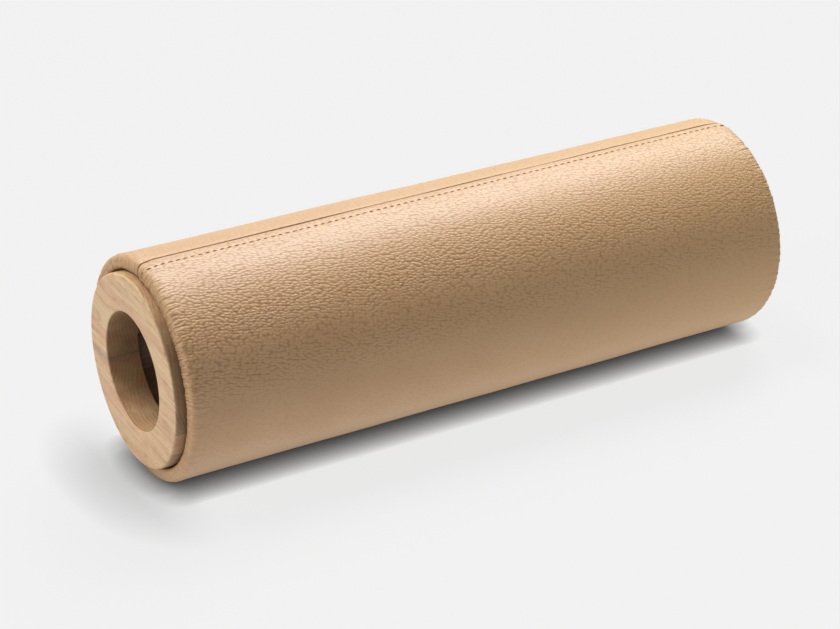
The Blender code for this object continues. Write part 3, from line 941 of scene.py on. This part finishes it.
def straightWood(name, wood):
    # planed stave wood or dowel stock with its grain along the roller: fine darker lines and no gloss
    finish, tree, shader = newFinish(name)
    spot = addNode(tree, "TexCoord").outputs["Object"]
    long = addNode(tree, "VectorMath", {0: spot, 1: (0.03, 1, 1)}, operation="MULTIPLY")
    fibres = addNode(tree, "TexNoise", {"Vector": long, "Scale": 1 / wood["fibre"], "Detail": 4})
    broad = addNode(tree, "TexNoise", {"Vector": long, "Scale": 1 / wood["band"], "Detail": 1})
    mixed = addNode(tree, "Math", {0: fibres, 1: broad}, operation="ADD")
    dark = addNode(tree, "MapRange", {"Value": mixed, "From Min": 0.75, "From Max": 1.25})
    colour = addNode(tree, "Mix", {0: dark, 6: linear(wood["light"]), 7: linear(wood["dark"])},
                     data_type="RGBA")
    bump = addNode(tree, "Bump", {"Strength": 0.6, "Distance": 0.08 * mm, "Height": fibres})
    setInputs(tree, shader, {"Base Color": colour.outputs[2], "Roughness": wood["rough"], "Normal": bump})
    return finish


# End rings, turned with a flange, a boss and a spigot, and drilled for the dowels

ring = {
    "flange": 14 * mm,
    "bossRadius": 53.8 * mm,
    "bossIn": 15.8 * mm,
    "spigotRadius": 41.7 * mm,
    "spigotIn": 22.1 * mm,
    "edgeRound": 1.7 * mm,
    "boreRound": 1.0 * mm,
    "eased": 0.5 * mm,
    "facets": 144,
}


def turnMesh(name, side, profile, facets):
    builder = bmesh.new()
    loops = []
    turns = [2 * pi * k / facets for k in range(facets)]
    for inside, radius in profile:
        loops.append([builder.verts.new(place(side, inside, radius, turn)) for turn in turns])
    joinLoops(builder, loops + loops[:1])
    return finishMesh(builder, name)


def ringProfile():
    outside, bore = roller["ringRadius"], roller["boreRadius"]
    rim, small, eased = ring["edgeRound"], ring["boreRound"], ring["eased"]
    points = [(0, bore + small + 0.5 * mm), (0, 46 * mm), (0, 53 * mm), (0, outside - rim - 0.5 * mm)]
    for step in range(13):
        turn = pi / 2 * step / 12
        points.append((rim * (1 - cos(turn)), outside - rim + rim * sin(turn)))
    flange, boss, bossIn = ring["flange"], ring["bossRadius"], ring["bossIn"]
    spigot, spigotIn = ring["spigotRadius"], ring["spigotIn"]
    points += [(rim + 0.5 * mm, outside), (flange - eased, outside), (flange, outside - eased), (flange, boss),
               (bossIn - eased, boss), (bossIn, boss - eased), (bossIn, spigot), (spigotIn - eased, spigot),
               (spigotIn, spigot - eased), (spigotIn, bore + eased), (spigotIn - eased, bore),
               (small + 0.5 * mm, bore)]
    for step in range(7):
        turn = pi / 2 * step / 6
        points.append((small * (1 - sin(turn)), bore + small * (1 - cos(turn))))
    return points


dowel = {
    "perEnd": 4,
    "radius": 4 * mm,
    "fluteDepth": 0.35 * mm,
    "flutes": 12,
    "chamfer": 0.8 * mm,
    "gap": 0.3 * mm,
}


def rodMesh(name, middle, half, radius, chamfer, flutes, fluteDepth):
    builder = bmesh.new()
    loops = []
    sides = 4 * flutes
    for x, size, cut in ((-half, radius - chamfer, 0), (-half + chamfer, radius, 1),
                         (half - chamfer, radius, 1), (half, radius - chamfer, 0)):
        loop = []
        for k in range(sides):
            turn = 2 * pi * k / sides
            reach = size - cut * fluteDepth * (k % 4 == 0)
            loop.append(builder.verts.new(middle + Vector((x, reach * sin(turn), reach * cos(turn)))))
        loops.append(loop)
    joinLoops(builder, loops)
    builder.faces.new(loops[0])
    builder.faces.new(loops[-1])
    return finishMesh(builder, name, 30)


def applyHoles(piece, cutters):
    for cutter in cutters:
        cut = piece.modifiers.new("dowelHole", "BOOLEAN")
        cut.operation = "DIFFERENCE"
        cut.object = cutter
        cut.solver = "EXACT"
    bpy.context.view_layer.update()
    cutMesh = bpy.data.meshes.new_from_object(piece.evaluated_get(bpy.context.evaluated_depsgraph_get()))
    piece.modifiers.clear()
    piece.data = cutMesh
    cutMesh.set_sharp_from_angle(angle=radians(40))
    for cutter in cutters:
        bpy.data.objects.remove(cutter)


hardwood = oiledHardwood()
beech = straightWood("beechDowelStock", dowelWood)
for side, sideName in ((-1, "left"), (1, "right")):
    turned = turnMesh("ring", side, ringProfile(), ring["facets"])
    piece = addPiece(f"{sideName}_ring_turned", turned, hardwood, "ring_wood", f"{sideName}_end_ring")
    cutters = []
    for index in range(dowel["perEnd"]):
        node = f"{sideName}_dowel_{index + 1}"
        low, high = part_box(node)
        middle = (low + high) / 2
        half = (high.x - low.x) / 2
        radius, chamfer, gap = dowel["radius"], dowel["chamfer"], dowel["gap"]
        drill = rodMesh("holeCutter", middle, half + gap, radius + gap, chamfer, 4, 0)
        cutters.append(addObject("holeCutter", drill))
        rod = rodMesh(node, middle, half, radius, chamfer, dowel["flutes"], dowel["fluteDepth"])
        addPiece(f"{sideName}_fluted_dowel_{index + 1}", rod, beech, "dowel_wood", node)
    applyHoles(piece, cutters)
print("rings turned and drilled, dowels made")


# Core: the CAD staves keep their shape

staveFinish = straightWood("planedStaveWood", coreWood)
for name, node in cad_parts.items():
    if name.startswith("core_stave"):
        for slot in node.material_slots:
            slot.material = staveFinish
print("staves finished")


# Foam sleeve under the leather

foam = {
    "skin": 70.0 * mm,
    "bore": 58.5 * mm,
    "endIn": 16.3 * mm,
    "spare": 2 * mm,  # room left for the leather at the padded end
    "facets": 96,
    "cell": 1.1 * mm,
    "cut": "2E2E31",
    "wall": "48484C",
    "rough": 0.9,
}


def closedCellFoam():
    # closed-cell EVA foam, cut from sheet: matt charcoal with small shut cells
    finish, tree, shader = newFinish("cutClosedCellFoam")
    spot = addNode(tree, "TexCoord").outputs["Object"]
    cells = addNode(tree, "TexVoronoi", {"Vector": spot, "Scale": 1 / foam["cell"]})
    colour = addNode(tree, "Mix", {0: cells, 6: linear(foam["cut"]), 7: linear(foam["wall"])}, data_type="RGBA")
    bump = addNode(tree, "Bump", {"Distance": 0.2 * mm, "Height": cells})
    setInputs(tree, shader, {"Base Color": colour.outputs[2], "Roughness": foam["rough"], "Normal": bump})
    return finish


def foamProfile():
    spare, endIn = foam["spare"], foam["endIn"]
    oneEnd = [(endIn, foam["bore"]), (endIn, mouth + spare), (touchIn + 1 * mm, mouth + spare)]
    for step in range(9):
        turn = pi / 2 * step / 8
        depth, height = cover["endRound"] - spare, foam["skin"] - crestCentre
        oneEnd.append((bodyIn - depth * cos(turn), crestCentre + height * sin(turn)))
    full = 2 * roller["halfLength"]
    middle = [(inside * mm, foam["skin"]) for inside in range(40, 411, 37)]
    otherEnd = [(full - inside, radius) for inside, radius in reversed(oneEnd)]
    inner = [(inside * mm, foam["bore"]) for inside in range(400, 49, -50)]
    return oneEnd + middle + otherEnd + inner


sleeve = addPiece("foam_sleeve_padding", turnMesh("foam_sleeve_padding", -1, foamProfile(), foam["facets"]),
                  closedCellFoam(), "foam", "foam_sleeve")
print("foam sleeve made")


# Studio: pale floor, soft light from above and behind and a softer one from the left

studio = {
    "background": "F2F2F2",
    "floor": "D6D6D6",
    # where each softbox is, how bright it is and how wide it looks
    "lamps": {
        "rightSoftbox": ((0.48, 0.44, 0.76), 2.75, radians(30)),
        "overheadSoftbox": ((-0.25, 0.33, 0.91), 1.50, radians(20)),
        "leftSoftbox": ((-0.87, 0.08, 0.48), 1.08, radians(35)),
    },
    # a small softbox in front of the right end: place, watts and width
    "nearSoftbox": ((0.6, -0.6, 0.5), 0.32, 0.5),
    "paintedUpGlow": 1.07,  # painted glow that the floor sends back up at the roller
    "contact": 17 * mm,  # how far the painted dark shadow reaches
    "contactShare": 0.9,
    "contactDepth": 1.2,
    "broad": 55 * mm,  # the same for the faint painted shadow
    "broadDepth": 0.35,
    "broadFrom": -205 * mm,  # it fades in between these places along the roller
    "broadTo": -238 * mm,
    "broadFacing": (0.9, 0.1, 0.42),
    "floorHalf": 6,
}


def addLamp(name, kind, energy, spot):
    # it shines from its spot at the middle of the roller's footprint
    lamp = bpy.data.lights.new(name, kind)
    lamp.energy = energy
    holder = addObject(name, lamp)
    holder.location = spot
    holder.rotation_mode = "QUATERNION"
    holder.rotation_quaternion = Vector(spot).to_track_quat("Z", "Y")
    return lamp


def addSun(name, direction, strength, softness):
    addLamp(name, "SUN", strength, direction).angle = softness


def addSoftbox(name, spot, watts, width):
    addLamp(name, "AREA", watts, spot).size = width


def seenRays(tree):
    # camera, mirror and see-through rays
    rays = addNode(tree, "LightPath").outputs
    some = addNode(tree, "Math", {0: rays["Is Camera Ray"], 1: rays["Is Glossy Ray"]}, operation="ADD")
    return addNode(tree, "Math", {0: some, 1: rays["Is Transmission Ray"]}, operation="ADD", use_clamp=True)


def paintedShadowGlowFloor():
    # the floor: a pale sheet lit from above by the lamps, seen as flat pale grey with painted shadow under and
    # beside the roller, and glowing as painted light back up at the roller's underside
    finish = bpy.data.materials.new("floorWithPaintedShadowAndGlow")
    finish.use_nodes = True
    tree = finish.node_tree
    tree.nodes.clear()
    # painted shadow: the floor as seen grows dark where the roller is close, from an occlusion test
    close = addNode(tree, "AmbientOcclusion", {"Distance": studio["contact"]}, samples=16)
    nearShade = addNode(tree, "Math", {0: close.outputs["AO"], 1: studio["contactDepth"]}, operation="POWER")
    # painted shadow: a broad faint one to the left of the near end, from a tilted occlusion test faded in by
    # place
    spot = addNode(tree, "TexCoord").outputs["Object"]
    lengthways = addNode(tree, "SeparateXYZ", {0: spot})
    beyond = addNode(tree, "MapRange", {"Value": lengthways, "From Min": studio["broadFrom"],
                                        "From Max": studio["broadTo"], "To Max": studio["broadDepth"]})
    sideways = addNode(tree, "CombineXYZ", dict(enumerate(studio["broadFacing"])))
    broad = addNode(tree, "AmbientOcclusion", {"Distance": studio["broad"], "Normal": sideways}, samples=16)
    hidden = addNode(tree, "MapRange", {"Value": broad.outputs["AO"], "From Min": 0.45, "To Min": 1,
                                        "To Max": 0})
    lost = addNode(tree, "Math", {0: hidden, 1: beyond}, operation="MULTIPLY")
    farShade = addNode(tree, "Math", {0: 1, 1: lost}, operation="SUBTRACT")
    shade = addNode(tree, "Math", {0: nearShade, 1: farShade}, operation="MULTIPLY")
    # painted light: to other rays the floor glows up at the roller, dimmer near where it touches
    paintedUpGlowStrength = addNode(tree, "Math", {0: nearShade, 1: studio["paintedUpGlow"]}, operation="MULTIPLY")
    pale = linear(studio["background"])
    lit = addNode(tree, "BsdfDiffuse", {"Color": linear(studio["floor"])})
    under = addNode(tree, "Emission", {"Color": pale, "Strength": paintedUpGlowStrength})
    glow = addNode(tree, "Emission", {"Color": pale, "Strength": shade})
    seen = addNode(tree, "MixShader", {0: studio["contactShare"], 1: lit, 2: glow})
    both = addNode(tree, "MixShader", {0: seenRays(tree), 1: under, 2: seen})
    addNode(tree, "OutputMaterial", {"Surface": both})
    return finish


def buildStudio():
    builder = bmesh.new()
    bmesh.ops.create_grid(builder, x_segments=4, y_segments=4, size=studio["floorHalf"])
    floorPiece = addObject("studio_floor", finishMesh(builder, "studio_floor"))
    floorPiece.data.materials.append(paintedShadowGlowFloor())

    # the room is seen as pale but sends no light: the lamps do, and the floor's painted glow
    world = bpy.data.worlds.new("softStudioRoom")
    bpy.context.scene.world = world
    world.use_nodes = True
    tree = world.node_tree
    tree.nodes.clear()
    room = addNode(tree, "Background", {"Color": linear(studio["background"]), "Strength": seenRays(tree)})
    addNode(tree, "OutputWorld", {"Surface": room})

    for name, (direction, strength, softness) in studio["lamps"].items():
        addSun(name, direction, strength, softness)
    addSoftbox("nearSoftbox", *studio["nearSoftbox"])


buildStudio()
bpy.context.scene.view_settings.view_transform = "Standard"
print("studio lit")


# Camera: above the left end, looking down along the roller

view = {
    "lens": 105.92,
    "sensor": 36,
    "from": (-0.7538, -1.2398, 0.7748),
    "turn": (radians(63.57), 0, radians(-30.6)),
}
lens = bpy.data.cameras.new("photoCamera")
lens.lens = view["lens"]
lens.sensor_width = view["sensor"]
camera = addObject("photoCamera", lens)
camera.location = view["from"]
camera.rotation_euler = view["turn"]
bpy.context.scene.camera = camera
